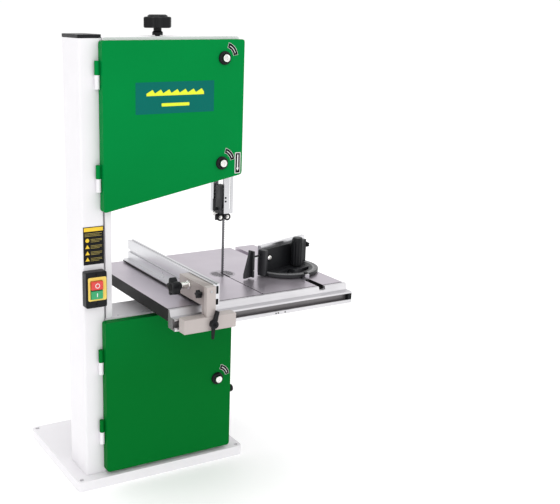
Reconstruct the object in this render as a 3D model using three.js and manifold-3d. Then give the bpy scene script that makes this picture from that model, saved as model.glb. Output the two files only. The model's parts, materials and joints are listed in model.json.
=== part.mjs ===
// A floor-standing woodworking band saw with a rip fence and a mitre gauge.
//
// Millimetres, +Z up. While it is being modelled, X runs to the right from the doors' left edge,
// Y runs to the back from the doors' front skin, and Z starts at the floor. The whole saw is then
// moved so that its origin is on the floor under the middle of its outline.

import * as THREE from "three";
import { mergeVertices } from "three/addons/utils/BufferGeometryUtils.js";
import Module from "manifold-3d";

const wasm = await Module();
wasm.setup();

// ---------------------------------------------------------------- driving dimensions

const MIDDLE = { x: 282.5, y: 67 }; // plan position of the origin
const GAP = 0.3; // between pieces that touch
const TURN = 2 * Math.PI;

const BASE = { x: [-85, 422], y: [-5, 380], height: 28, wall: 5, corner: 14, hole: 6 };
const COLUMN = { x: [-50.5, 11], y: [26, 142.5], top: 1181, wall: 3, corner: 9 };
const BACK = COLUMN.y[1]; // rear plane of the column and of both cabinets
const SHEET = 2; // cabinet sheet

const DOOR = { width: 400, top: 1176, bottomLeft: 753, bottomRight: 824, depth: 24, skin: 1.5 };
const LOWER_DOOR = { width: 379.5, top: 462, bottom: 38 };
const SLOPE = (DOOR.bottomRight - DOOR.bottomLeft) / DOOR.width; // of the upper cabinet's underside
const UPPER = { x: [11.6, 398], y: [26, BACK], top: 1183, lift: 4 };
const LOWER = { x: [11.6, 392], y: [26, BACK], z: [28.3, 465] };

const WHEEL = { radius: 175, x: 200, upperZ: 988, lowerZ: 245, y: [37.5, 62.5], tyre: 3.2 };
const BLADE = { x: WHEEL.x + WHEEL.radius + 1, y: 50, width: 13, thickness: 0.8, lift: 0.6 };
const RETURN_X = WHEEL.x - WHEEL.radius - 1; // the blade's upward run
const BLADE_SLOT = { half: 4, y: [36, 64] }; // where the cutting run leaves the lower cabinet

const TABLE = { x: [98, 630], y: [-163, 296], top: 536, depth: 33, skin: 13 };
const INSERT = { radius: 35.4, depth: 3.2 };
const KERF = 3; // the slit that lets the blade into the table
const SLOT = { x: 555, width: 19, depth: 9.5 }; // mitre slot
const RAIL = { x: [98, 634], front: -200, bottom: 487.5, shelf: 519, mouth: [497, 514], lip: 5 };

const HINGE = { x: -7, y: 17, radius: 6.5, pin: 3.5, length: 34 };
const HINGE_BASES = [1094, 839, 351, 152]; // height where each moving knuckle starts
const SWITCH = {
  x: [-52, 6],
  z: [508, 603],
  front: 2,
  travel: 4,
  button: { x: [-39, -7], back: 9, stop: [557, 579.5], start: [532, 554.5] },
};
const TENSION = { x: WHEEL.x, y: 105, knob: 39 }; // the screw's axis and its knob's radius
const CARRIAGE = { x: [169, 231], y: [92, 130], z: [950, 1026] };
const TRACKING_Z = 960;
const GUIDE = { x: [353, 369], y: [68, 84], foot: 712, top: 1012 };
const HANDWHEEL = { at: [380, 860], pinion: 10.2, radius: 34 };
const BEARING = { radius: 10, bore: 3.3, z: 698 };
const MOTOR = { x: 300, z: 130, radius: 64, pulley: 30, length: 180 };
const PULLEY = { radius: 70, y: [68, 86], groove: 9 };
const DUST_PORT = { at: [90, 110], bore: 47.3, spigot: 50, flange: 60, length: 45 };
const BELT_KNOB = [42, 192];
const CHANNEL = { x: [15, 32], y: [30, 104], wall: 1.5 }; // box round the blade's upward run
const FENCE = { x: [196, 214], z: [541.5, 600], y: [-214, 290], foot: [180, 545.3], groove: 569 };
const BRACKET = { x: [170, 195.4], y: [-219, -85], z: [546.3, 597] }; // carries the fence bar
const KNOBS = { large: [-137, 582], small: [-203, 576] };
const CARRIER = { x: [107, 252], y: [-233, -203.5], z: [488, 524.5] };
const MITRE = { y: 10, angle: 17, radius: 95, plate: [538.1, 546.5], wall: 612, bar: [-103, 180] };
const MITRE_HANDLE = { at: [23, -26], radius: 17, top: 631 };
const LIFT = 2.1; // of the fence above the table

// ---------------------------------------------------------------- geometry helpers

// One closed, welded, outward-facing geometry that holds nothing but positions and triangles.
function weld(geometry) {
  const bare = geometry.clone();
  bare.deleteAttribute("normal");
  bare.deleteAttribute("uv");
  const merged = mergeVertices(bare);
  const corners = merged.index.array;
  const triangles = [];
  for (let i = 0; i < corners.length; i += 3) {
    const [a, b, c] = corners.slice(i, i + 3);
    if (a !== b && b !== c && c !== a) triangles.push([a, b, c]);
  }
  const at = (i) => new THREE.Vector3().fromBufferAttribute(merged.attributes.position, i);
  let volume = 0;
  for (const [a, b, c] of triangles) volume += at(a).dot(at(b).cross(at(c)));
  if (volume < 0) triangles.forEach((triangle) => triangle.reverse());
  merged.clearGroups();
  merged.setIndex(triangles.flat());
  return merged;
}

function toSolid(geometry) {
  const welded = weld(geometry);
  const vertProperties = new Float32Array(welded.attributes.position.array);
  const triVerts = new Uint32Array(welded.index.array);
  return new wasm.Manifold(new wasm.Mesh({ numProp: 3, vertProperties, triVerts }));
}

function toGeometry(solid) {
  const mesh = solid.getMesh();
  const geometry = new THREE.BufferGeometry();
  geometry.setAttribute("position", new THREE.BufferAttribute(mesh.vertProperties, 3));
  geometry.setIndex([...mesh.triVerts]);
  return geometry;
}

const join = (...pieces) =>
  toGeometry(pieces.slice(1).reduce((whole, piece) => whole.add(toSolid(piece)), toSolid(pieces[0])));

const cut = (body, ...tools) =>
  toGeometry(tools.reduce((whole, tool) => whole.subtract(toSolid(tool)), toSolid(body)));

function block([x0, x1], [y0, y1], [z0, z1]) {
  const box = new THREE.BoxGeometry(x1 - x0, y1 - y0, z1 - z0);
  return box.translate((x0 + x1) / 2, (y0 + y1) / 2, (z0 + z1) / 2);
}

// Directions of an outline's first axis, second axis and thickness, for each drawing plane.
const PLANES = {
  xy: [[1, 0, 0], [0, 1, 0], [0, 0, 1]],
  xz: [[1, 0, 0], [0, 0, 1], [0, -1, 0]],
  yz: [[0, 1, 0], [0, 0, 1], [1, 0, 0]],
};

// An outline drawn in a plane and given thickness between two places on the third axis.
function extrude(outline, plane, [from, to], curveSegments = 3) {
  const options = { depth: to - from, bevelEnabled: false, curveSegments };
  const geometry = new THREE.ExtrudeGeometry(outline, options);
  const axes = PLANES[plane].map((axis) => new THREE.Vector3(...axis));
  geometry.applyMatrix4(new THREE.Matrix4().makeBasis(...axes));
  const start = plane === "xz" ? -to : from;
  return geometry.translate(...axes[2].clone().multiplyScalar(start).toArray());
}

const polygon = (points) => new THREE.Shape(points.map(([x, y]) => new THREE.Vector2(x, y)));

// A convex polygon whose corners are rounded off over the given length of each side.
function rounded(points, radius) {
  const at = points.map(([x, y]) => new THREE.Vector2(x, y));
  const shape = new THREE.Shape();
  at.forEach((corner, i) => {
    const before = at[(i + at.length - 1) % at.length];
    const after = at[(i + 1) % at.length];
    const enter = corner.clone().add(before.clone().sub(corner).setLength(radius));
    const leave = corner.clone().add(after.clone().sub(corner).setLength(radius));
    if (i === 0) shape.moveTo(enter.x, enter.y);
    else shape.lineTo(enter.x, enter.y);
    shape.quadraticCurveTo(corner.x, corner.y, leave.x, leave.y);
  });
  return shape;
}

const corners = ([x0, x1], [y0, y1]) => [[x0, y0], [x1, y0], [x1, y1], [x0, y1]];
const grow = ([low, high], by) => [low - by, high + by];

// A body of revolution. The profile lists [radius, distance along the axis]; centre gives the
// other two coordinates of the axis, in X, Y, Z order.
function turned(profile, axis, [p, q], segments = 24) {
  const geometry = new THREE.LatheGeometry(profile.map(([r, h]) => new THREE.Vector2(r, h)), segments);
  if (axis === "x") return geometry.rotateZ(-Math.PI / 2).translate(0, p, q);
  if (axis === "z") return geometry.rotateX(Math.PI / 2).translate(p, q, 0);
  return geometry.translate(p, 0, q);
}

const rod = (radius, axis, [from, to], centre, segments = 16) =>
  turned([[0, from], [radius, from], [radius, to], [0, to]], axis, centre, segments);

const ring = (outer, inner, axis, [from, to], centre, segments = 16) =>
  turned([[inner, from], [outer, from], [outer, to], [inner, to], [inner, from]], axis, centre, segments);

// The outline of a hand knob with rounded lobes.
function lobed(radius, lobes, depth, [cx, cy] = [0, 0]) {
  const steps = lobes * 6;
  const points = [];
  for (let i = 0; i < steps; i += 1) {
    const angle = (i / steps) * TURN;
    const r = radius - (depth * (1 - Math.cos(lobes * angle))) / 2;
    points.push([cx + r * Math.cos(angle), cy + r * Math.sin(angle)]);
  }
  return polygon(points);
}

// The outline of a belt round two circles, given as [x, z, radius], the first one the larger.
function beltOutline([x0, z0, r0], [x1, z1, r1], Kind = THREE.Shape) {
  const heading = Math.atan2(z1 - z0, x1 - x0);
  const open = Math.acos((r0 - r1) / Math.hypot(x1 - x0, z1 - z0));
  const path = new Kind();
  path.absarc(x0, z0, r0, heading + open, heading - open + TURN, false);
  path.absarc(x1, z1, r1, heading - open, heading + open, false);
  path.closePath();
  return path;
}

function loop(first, second, thickness, width, segments) {
  const grown = ([x, z, r]) => [x, z, r + thickness];
  const outline = beltOutline(grown(first), grown(second));
  outline.holes.push(beltOutline(first, second, THREE.Path));
  return extrude(outline, "xz", width, segments);
}

// ---------------------------------------------------------------- materials

const finish = (color, roughness, metalness) =>
  new THREE.MeshStandardMaterial({ color, roughness, metalness });
const paint = (color, roughness = 0.4) => finish(color, roughness, 0.1);
const metal = (color, roughness) => finish(color, roughness, 1);
const plastic = (color, roughness = 0.5) => finish(color, roughness, 0);

const MATERIAL = {
  white: paint(0xf0eeee),
  green: paint(0x00783a, 0.35),
  steel: metal(0xb8bbc0, 0.35),
  dark_steel: metal(0x3a3a3e, 0.45),
  aluminium: metal(0xd5d7dc, 0.35),
  cast: paint(0xb3aaa5, 0.55),
  iron: metal(0xa8a2a6, 0.4),
  black: plastic(0x1c1d20),
  rubber: plastic(0x151516, 0.8),
  red: plastic(0xd8322e, 0.35),
  green_button: plastic(0x0a9a4c, 0.35),
  grey_paint: paint(0x4a4d52),
};

const saw = new THREE.Group();

function add(name, geometry, material, group = saw) {
  const mesh = new THREE.Mesh(weld(geometry), MATERIAL[material]);
  mesh.name = name;
  group.add(mesh);
}

// ---------------------------------------------------------------- base and column

function buildBase() {
  const { x, y, height, wall, corner, hole } = BASE;
  const plate = extrude(rounded(corners(x, y), corner), "xy", [0, height]);
  const inside = extrude(rounded(corners(grow(x, -wall), grow(y, -wall)), corner), "xy", [-1, height - wall]);
  const inset = 14;
  const bosses = [];
  const holes = [];
  for (const hx of grow(x, -inset)) {
    for (const hy of grow(y, -inset)) {
      bosses.push(rod(hole + 5, "z", [0, height - 1], [hx, hy]));
      holes.push(rod(hole, "z", [-1, height + 1], [hx, hy]));
    }
  }
  add("base_plate", cut(join(cut(plate, inside), ...bosses), ...holes), "white");
}

// The fixed half of a lift-off hinge: a knuckle under the moving one, its pin, and a web to the column.
function hingeHalf(bottom) {
  const { x, y, radius, pin, length } = HINGE;
  const top = bottom - GAP;
  const profile = [
    [0, top - length],
    [radius, top - length],
    [radius, top],
    [pin, top],
    [pin, top + length - 4],
    [0, top + length - 4],
  ];
  return [
    turned(profile, "z", [x, y]),
    block([x - 3, x + 3], [y, COLUMN.y[0] + 1], [top - length, top]),
  ];
}

function buildColumn() {
  const { x, y, top, wall, corner } = COLUMN;
  const floor = BASE.height + GAP;
  const outer = extrude(rounded(corners(x, y), corner), "xy", [floor, top]);
  const inner = extrude(rounded(corners(grow(x, -wall), grow(y, -wall)), corner), "xy", [floor - 1, top + 1]);
  add("column", join(cut(outer, inner), ...HINGE_BASES.flatMap(hingeHalf)), "white");
  const cap = extrude(rounded(corners(grow(x, 0.3), grow(y, 0.3)), corner), "xy", [top + GAP, top + 9]);
  const plug = block(grow(x, -wall - 6), grow(y, -wall - 6), [top - 12, top + 1]);
  add("column_cap", join(cap, plug), "black");
}

// ---------------------------------------------------------------- cabinets

// Height of the upper cabinet's sloping underside at x, raised by a distance square to the slope.
const underside = (x, lift) => DOOR.bottomLeft + SLOPE * x + lift * Math.hypot(1, SLOPE);

const upperOutline = (x, top, lift) => [
  [x[0], underside(x[0], lift)],
  [x[1], underside(x[1], lift)],
  [x[1], top],
  [x[0], top],
];

function buildUpperHousing() {
  const { x, y, top, lift } = UPPER;
  const corner = 8;
  const shell = extrude(rounded(upperOutline(x, top, lift), corner), "xz", y);
  const room = upperOutline(grow(x, -SHEET), top - SHEET, lift + SHEET);
  const cavity = extrude(rounded(room, corner - 1), "xz", [y[0] + SHEET, BACK - SHEET]);
  const frame = 22; // width of the sheet round the doorway
  const doorwayOutline = upperOutline([x[0] + 20, x[1] - 24], top - frame, lift + frame);
  const doorway = extrude(polygon(doorwayOutline), "xz", [y[0] - 1, y[0] + 5]);
  const rear = [BACK - 5, BACK + 1];
  const screwHole = rod(9, "z", [top - 10, top + 1], [TENSION.x, TENSION.y]);
  const bladeSlot = block(grow(CHANNEL.x, -CHANNEL.wall), grow(CHANNEL.y, -CHANNEL.wall), [750, 770]);
  const guideSlot = block([GUIDE.x[0] - 8, x[1] - 2.5], [y[0] + SHEET, GUIDE.y[1] + 4], [800, 850]);
  const trackingSlot = block(grow([TENSION.x, TENSION.x], 10), rear, [TRACKING_Z - 20, TRACKING_Z + 15]);
  const handwheelHole = rod(7, "y", rear, HANDWHEEL.at);
  const openings = [cavity, doorway, screwHole, bladeSlot, guideSlot, trackingSlot, handwheelHole];
  add("upper_housing", cut(shell, ...openings), "white");
}

function buildLowerHousing() {
  const { x, y, z } = LOWER;
  const shell = extrude(rounded(corners(x, z), 6), "xz", y);
  const cavity = extrude(rounded(corners(grow(x, -SHEET), grow(z, -SHEET)), 5), "xz", grow(y, -SHEET));
  const doorway = block([22, 368], [y[0] - 1, y[0] + 5], [50, 452]);
  const rear = [BACK - 5, BACK + 1];
  const lid = [z[1] - 10, z[1] + 5];
  const cuttingSlot = block(grow([BLADE.x, BLADE.x], BLADE_SLOT.half), BLADE_SLOT.y, lid);
  const returnSlot = block(grow(CHANNEL.x, -CHANNEL.wall), grow(CHANNEL.y, -CHANNEL.wall), lid);
  const shaftHoles = [[WHEEL.x, WHEEL.lowerZ], [MOTOR.x, MOTOR.z]];
  const rearHoles = shaftHoles.map((at) => rod(14, "y", rear, at));
  const dustHole = rod(DUST_PORT.bore - GAP, "y", rear, DUST_PORT.at);
  const knobHole = rod(5, "x", [x[1] - 5, x[1] + 1], BELT_KNOB);
  const openings = [cavity, doorway, cuttingSlot, returnSlot, ...rearHoles, dustHole, knobHole];
  add("lower_housing", cut(shell, ...openings), "white");
}

function buildDustPort() {
  const { at, bore, spigot, flange, length } = DUST_PORT;
  const profile = [
    [bore, BACK + GAP],
    [flange, BACK + GAP],
    [flange, BACK + 4],
    [spigot, BACK + 4],
    [spigot, BACK + length],
    [bore, BACK + length],
    [bore, BACK + GAP],
  ];
  add("dust_port", turned(profile, "y", at), "black");
}

function buildBladeChannel() {
  const { x, y, wall } = CHANNEL;
  const z = [LOWER.z[1] + GAP, underside(x[0], UPPER.lift) - GAP];
  const tube = block(x, y, z);
  add("blade_channel", cut(tube, block(grow(x, -wall), grow(y, -wall), grow(z, 1))), "white");
}

// ---------------------------------------------------------------- doors

// The moving knuckle that sits over a fixed hinge half, with the web that welds it to the door.
function knuckle(bottom) {
  const { x, y, radius, pin, length } = HINGE;
  const sleeve = join(
    rod(radius, "z", [bottom, bottom + length], [x, y]),
    block([x, 1], [y - 3, y + 3], [bottom, bottom + length]),
  );
  return cut(sleeve, rod(pin + GAP, "z", [bottom - 1, bottom + length - 3], [x, y]));
}

// Centre of each latch, and whether its cam points up or down while the latch is undone.
const LATCHES = {
  upper_latch_top: { at: [340.5, 1129.5], up: false },
  upper_latch_bottom: { at: [337.5, 858], up: true },
  lower_latch: { at: [335.5, 250], up: true },
};
const LATCH = { bore: 8, bezel: 17.5, cam: [31, 34], reach: 44 };

function buildDoor(name, outlineAt, hinges, latches) {
  const { depth, skin } = DOOR;
  const tray = cut(
    extrude(rounded(outlineAt(0), 8), "xz", [0, depth]),
    extrude(rounded(outlineAt(skin), 7), "xz", [skin, depth + 1]),
  );
  const bores = latches.map(({ at }) => rod(LATCH.bore + GAP, "y", [-1, depth], at));
  add(name, cut(join(tray, ...hinges.map(knuckle)), ...bores), "green");
}

function buildDoors() {
  const upper = (inset) => [
    [inset, underside(inset, inset)],
    [DOOR.width - inset, underside(DOOR.width - inset, inset)],
    [DOOR.width - inset, DOOR.top - inset],
    [inset, DOOR.top - inset],
  ];
  const lower = (inset) =>
    corners(grow([0, LOWER_DOOR.width], -inset), grow([LOWER_DOOR.bottom, LOWER_DOOR.top], -inset));
  const { upper_latch_top, upper_latch_bottom, lower_latch } = LATCHES;
  buildDoor("upper_door", upper, HINGE_BASES.slice(0, 2), [upper_latch_top, upper_latch_bottom]);
  buildDoor("lower_door", lower, HINGE_BASES.slice(2), [lower_latch]);
}

// A quarter-turn latch: a round turn button, its barrel through the door, and a cam that swings
// behind the doorway's edge.
function buildLatches() {
  const { bore, bezel, cam, reach } = LATCH;
  for (const [name, { at: [x, z], up }] of Object.entries(LATCHES)) {
    const profile = [
      [0, -14],
      [9, -14],
      [10, -13],
      [10, -7],
      [bezel, -5],
      [bezel, -GAP],
      [bore, -GAP],
      [bore, cam[1] + 0.5],
      [0, cam[1] + 0.5],
    ];
    const arm = block([x - 7, x + 7], cam, up ? [z - bore, z + reach] : [z - reach, z + bore]);
    add(name, join(turned(profile, "y", [x, z]), arm), "black");
  }
}

// ---------------------------------------------------------------- switch

function buildSwitch() {
  const { x, z, front, button, travel } = SWITCH;
  const well = [front - 1, button.back + travel + 2];
  const wells = [button.stop, button.start].map((at) => block(grow(button.x, 0.6), well, grow(at, 0.6)));
  const box = extrude(rounded(corners(x, z), 5), "xz", [front, COLUMN.y[0] - GAP]);
  add("switch_box", cut(box, ...wells), "black");
  add("stop_button", block(button.x, [front - 8, button.back], button.stop), "red");
  add("start_button", block(button.x, [front - 6, button.back], button.start), "green_button");
}

// ---------------------------------------------------------------- wheels and blade

function buildWheel(prefix, z, bore) {
  const { x, radius, y, tyre } = WHEEL;
  const rim = radius - tyre;
  const inner = rim - 13;
  const hub = 30;
  const middle = (y[0] + y[1]) / 2;
  const web = new THREE.Shape().absarc(x, z, inner + 3, 0, TURN);
  const spokes = 6;
  const halfWindow = TURN / spokes / 2;
  for (let i = 0; i < spokes; i += 1) {
    const at = (i / spokes) * TURN;
    const window = new THREE.Path();
    window.absarc(x, z, inner - 8, at - halfWindow + 0.11, at + halfWindow - 0.11, false);
    window.absarc(x, z, hub + 10, at + halfWindow - 0.32, at - halfWindow + 0.32, true);
    window.closePath();
    web.holes.push(window);
  }
  const segments = 48;
  const wheel = join(
    ring(rim, inner, "y", y, [x, z], segments),
    extrude(web, "xz", grow([middle, middle], 4.5), 5),
    rod(hub, "y", [y[0] + 1, y[1] + 3.5], [x, z], 24),
  );
  add(`${prefix}_wheel`, cut(wheel, rod(bore, "y", [y[0] - 5, y[1] + 10], [x, z])), "aluminium");
  add(`${prefix}_tyre`, ring(radius, rim + GAP, "y", y, [x, z], segments), "rubber");
}

function buildBlade() {
  const inner = WHEEL.radius + BLADE.lift;
  const width = grow([BLADE.y, BLADE.y], BLADE.width / 2);
  const top = [WHEEL.x, WHEEL.upperZ, inner];
  const bottom = [WHEEL.x, WHEEL.lowerZ, inner];
  add("blade", loop(top, bottom, BLADE.thickness, width, 24), "dark_steel");
}

// ---------------------------------------------------------------- blade tension and tracking

function buildTension() {
  const { x, y } = TENSION;
  const post = BACK - SHEET - GAP;
  const channel = polygon([
    [158, post],
    [158, 97],
    [168, 97],
    [168, 133],
    [232, 133],
    [232, 97],
    [242, 97],
    [242, post],
  ]);
  const slot = block([188, 212], [131, post + 1], [938, 977]);
  add("carriage_guide", cut(extrude(channel, "xy", [890, 1150]), slot), "steel");

  const nut = rod(6.6, "z", [968, CARRIAGE.z[1] + 1], [x, y]);
  add("wheel_carriage", cut(block(CARRIAGE.x, CARRIAGE.y, CARRIAGE.z), nut), "dark_steel");

  const screw = [
    [0, 972],
    [6, 972],
    [6, UPPER.top + 2],
    [14, UPPER.top + 2],
    [14, UPPER.top + 9],
    [10.5, UPPER.top + 13],
    [10.5, 1203],
    [0, 1203],
  ];
  const knob = extrude(lobed(TENSION.knob, 6, 9, [x, y]), "xy", [1202, 1230]);
  const crown = turned([[0, 1229], [30, 1229], [24, 1236.5], [0, 1236.5]], "z", [x, y]);
  add("tension_knob", join(turned(screw, "z", [x, y]), knob, crown), "black");

  const axle = [[0, 38], [9.7, 38], [9.7, 73], [0, 73]];
  const head = block([182, 218], [72, 91], [966, 1010]);
  add("upper_axle", join(turned(axle, "y", [x, WHEEL.upperZ]), head), "steel");

  const tracking = [
    [0, CARRIAGE.y[1] + GAP],
    [5, CARRIAGE.y[1] + GAP],
    [5, 152],
    [0, 152],
  ];
  const handle = extrude(lobed(20, 5, 5, [x, TRACKING_Z]), "xz", [151, 166]);
  add("tracking_knob", join(turned(tracking, "y", [x, TRACKING_Z]), handle), "black");
}

// ---------------------------------------------------------------- drive

// A pulley with a groove for the belt, drawn between two places on its axis.
function pulleyProfile(radius, bore, [from, to]) {
  return [
    [bore, from],
    [radius, from],
    [radius, from + 3.5],
    [radius - PULLEY.groove, from + 3.9],
    [radius - PULLEY.groove, to - 3.9],
    [radius, to - 3.5],
    [radius, to],
    [bore, to],
    [bore, from],
  ];
}

function buildDrive() {
  const { x, lowerZ } = WHEEL;
  const shaft = 12;
  const post = BACK - SHEET - GAP;
  const housing = [
    [shaft + 0.4, 90],
    [24, 90],
    [24, 131],
    [42, 131],
    [42, post],
    [shaft + 0.4, post],
    [shaft + 0.4, 90],
  ];
  add("lower_bearing_housing", turned(housing, "y", [x, lowerZ]), "grey_paint");
  add("lower_shaft", rod(shaft, "y", [38, 134], [x, lowerZ]), "steel");
  const driven = pulleyProfile(PULLEY.radius, shaft + GAP, PULLEY.y);
  add("driven_pulley", turned(driven, "y", [x, lowerZ], 32), "aluminium");

  const centre = [MOTOR.x, MOTOR.z];
  const small = turned(pulleyProfile(MOTOR.pulley, 5, PULLEY.y), "y", centre);
  const motorShaft = rod(8, "y", [PULLEY.y[0] - 2, BACK + 4], centre);
  add("motor_pulley", join(small, motorShaft), "aluminium");

  const belt = { lift: 0.8, thickness: 7.5 };
  const large = [x, lowerZ, PULLEY.radius - PULLEY.groove + belt.lift];
  const little = [MOTOR.x, MOTOR.z, MOTOR.pulley - PULLEY.groove + belt.lift];
  const width = grow(PULLEY.y, -4.3);
  add("drive_belt", loop(large, little, belt.thickness, width, 10), "rubber");
}

function buildMotor() {
  const { x, z, radius, length } = MOTOR;
  const front = BACK + 4.5;
  const bell = front + 130; // where the fan cover starts
  const fins = 18;
  const outline = [];
  for (let i = 0; i < fins * 4; i += 1) {
    const r = i % 4 < 2 ? radius : radius - 7;
    const angle = ((i + 0.5) / (fins * 4)) * TURN;
    outline.push([x + r * Math.cos(angle), z + r * Math.sin(angle)]);
  }
  const stator = extrude(polygon(outline), "xz", [front + 14, bell + 2]);
  const shell = turned(
    [
      [0, front],
      [radius + 6, front],
      [radius + 6, front + 8],
      [radius - 4, front + 15],
      [radius - 4, bell],
      [radius + 1, bell + 1],
      [radius + 1, front + length - 8],
      [radius - 8, front + length],
      [0, front + length],
    ],
    "y",
    [x, z],
  );
  const terminals = block([x - 40, x + 40], [front + 40, front + 110], [z + 40, z + 96]);
  add("motor", join(stator, shell, terminals), "grey_paint");
}

function buildBeltKnob() {
  const side = LOWER.x[1];
  const profile = [
    [0, side - 22],
    [4, side - 22],
    [4, side + 2],
    [7, side + 2],
    [11, side + 5],
    [11, side + 15],
    [8, side + 18],
    [0, side + 18],
  ];
  add("belt_tension_knob", turned(profile, "x", BELT_KNOB), "black");
}

// ---------------------------------------------------------------- blade guides

function buildGuides() {
  const { x, y, foot, top } = GUIDE;
  add("guide_post", block(x, y, [foot + 0.5, top]), "steel");

  const { at, pinion, radius } = HANDWHEEL;
  const spindle = 5;
  const bracket = block([343, 394], [64, BACK - SHEET - GAP], grow([at[1], at[1]], 25));
  const channel = block(grow(x, 0.4), grow(y, 0.4), grow([at[1], at[1]], 50));
  const pocket = rod(pinion + 0.6, "y", [69, 83], at);
  const bore = rod(spindle + 0.3, "y", [60, BACK], at);
  add("guide_post_bracket", cut(bracket, channel, pocket, bore), "grey_paint");

  const wheelRim = extrude(lobed(radius, 8, 4, at), "xz", [151, 166]);
  const shaft = join(rod(pinion, "y", [70, 82], at), rod(spindle, "y", [82, 160], at));
  add("guide_handwheel", join(shaft, wheelRim), "black");

  const sides = [-1, 1].map((side) => BLADE.x + side * (BLADE.thickness + BEARING.radius + 0.1));
  const thrustY = BLADE.y + BLADE.width / 2 + BEARING.radius + 0.8;
  const pins = sides.map((at) => rod(3, "y", [45, 60], [at, BEARING.z]));
  const cast = join(
    block([355, 371], [36, 60], [foot, 790]),
    block([355, 371], [58, y[0] - GAP], [foot, foot + 30]),
    block([355, 392], [57, 62], [BEARING.z - 8, foot + 10]),
    block([365, 371], [30.5, 37], [740, 760]),
    block([382, 387], [57, thrustY + 6], [BEARING.z - 6, foot]),
    ...pins,
  );
  const bearingRoom = block([370, 380], [56, 80], [BEARING.z - 20, BEARING.z + 12]);
  const thrustPin = rod(3, "x", [368, 384], [thrustY, BEARING.z]);
  add("guide_block", join(cut(cast, bearingRoom), thrustPin), "black");

  const plate = extrude(rounded(corners([364, 392], [712, 930]), 2), "xz", [28.5, 30.2]);
  add("blade_guard", cut(plate, block([380.5, 383.5], [20, 40], [724, 918])), "steel");

  const race = [47, 55];
  add("guide_bearing_left", ring(BEARING.radius, BEARING.bore, "y", race, [sides[0], BEARING.z]), "steel");
  add("guide_bearing_right", ring(BEARING.radius, BEARING.bore, "y", race, [sides[1], BEARING.z]), "steel");
  const behind = [thrustY, BEARING.z];
  add("thrust_bearing", ring(BEARING.radius, BEARING.bore, "x", [371, 379], behind), "steel");

  const lever = join(
    rod(4, "x", [346, 355 - GAP], [48, 724]),
    block([342, 347], [44, 52], [720, 752]),
  );
  add("guide_clamp_lever", lever, "black");

  const lower = join(
    block([355, 389], [62, BACK - SHEET - GAP], [432, 450]),
    block([363, 374], [46, 64], [432, 450]),
    block([376.5, 387], [46, 64], [432, 450]),
  );
  add("lower_guide_bracket", lower, "grey_paint");
}

// ---------------------------------------------------------------- table

const TRUNNION = { y: [90.4, 100], radius: 66, slot: 52 };
const PIVOT = [BLADE.x, TABLE.top]; // the table tilts about the blade at the table's surface
const LOCK = [350, 490]; // tilt clamp bolt

function pockets() {
  const bottom = TABLE.top - TABLE.depth;
  const columns = 5;
  const rib = 8;
  const inner = grow(TABLE.x, -12);
  const pitch = (inner[1] - inner[0] + rib) / columns;
  const rows = [[-151, -60], [-52, 8], [16, 76], [114, 195], [203, 284]];
  const cells = [];
  for (let i = 0; i < columns; i += 1) {
    const x = inner[0] + i * pitch;
    const width = [x, x + pitch - rib];
    for (const row of rows) cells.push(block(width, row, [bottom - 1, TABLE.top - TABLE.skin]));
  }
  return cells;
}

function buildTable() {
  const { x, y, top, depth } = TABLE;
  const bottom = top - depth;
  const plate = extrude(rounded(corners(x, y), 5), "xy", [bottom, top]);
  const centre = [BLADE.x, BLADE.y];
  const mitreSlot = block(grow([SLOT.x, SLOT.x], SLOT.width / 2), grow(y, 1), [top - SLOT.depth, top + 1]);
  const recess = rod(INSERT.radius + GAP, "z", [top - INSERT.depth - GAP, top + 1], centre, 32);
  const throat = rod(INSERT.radius - 3, "z", [bottom - 1, top], centre, 32);
  const kerf = block(grow([BLADE.x, BLADE.x], KERF / 2), [y[0] - 1, BLADE.y - 30], [bottom - 1, top + 1]);
  add("table", cut(plate, ...pockets(), mitreSlot, recess, throat, kerf), "iron");

  const disc = rod(INSERT.radius, "z", [top - INSERT.depth, top], centre, 32);
  const bladeSlot = block([BLADE.x - 2.2, BLADE.x + 5], [-40, BLADE.y + 14], [top - 10, top + 1]);
  add("table_insert", cut(disc, bladeSlot), "aluminium");

  const [px, pz] = PIVOT;
  const start = Math.PI + Math.asin((depth + GAP) / TRUNNION.radius);
  const moon = new THREE.Shape().absarc(px, pz, TRUNNION.radius, start, 3 * Math.PI - start, false);
  const from = THREE.MathUtils.degToRad(236);
  const to = THREE.MathUtils.degToRad(291);
  const slot = new THREE.Path();
  slot.absarc(px, pz, TRUNNION.slot + 5, from, to, false);
  slot.absarc(px, pz, TRUNNION.slot - 5, to, from, true);
  slot.closePath();
  moon.holes.push(slot);
  add("table_trunnion", extrude(moon, "xz", TRUNNION.y, 10), "cast");

  const floor = LOWER.z[1] + GAP;
  const ear = polygon([[325, floor], [379, floor], [379, 483], [364, 498], [325, 498]]);
  const foot = block([320, 386], [66, 136], [floor, floor + 3]);
  const boltHole = rod(4.4, "y", [70, 100], LOCK);
  add("trunnion_base", cut(join(extrude(ear, "xz", [79, 90]), foot), boltHole), "cast");

  const clamp = join(
    rod(4, "y", [78, 150], LOCK),
    rod(9, "y", [146, 158], LOCK),
    rod(5, "x", [LOCK[0] - 66, LOCK[0]], [152, LOCK[1]]),
  );
  add("tilt_lock_lever", clamp, "black");
}

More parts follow.
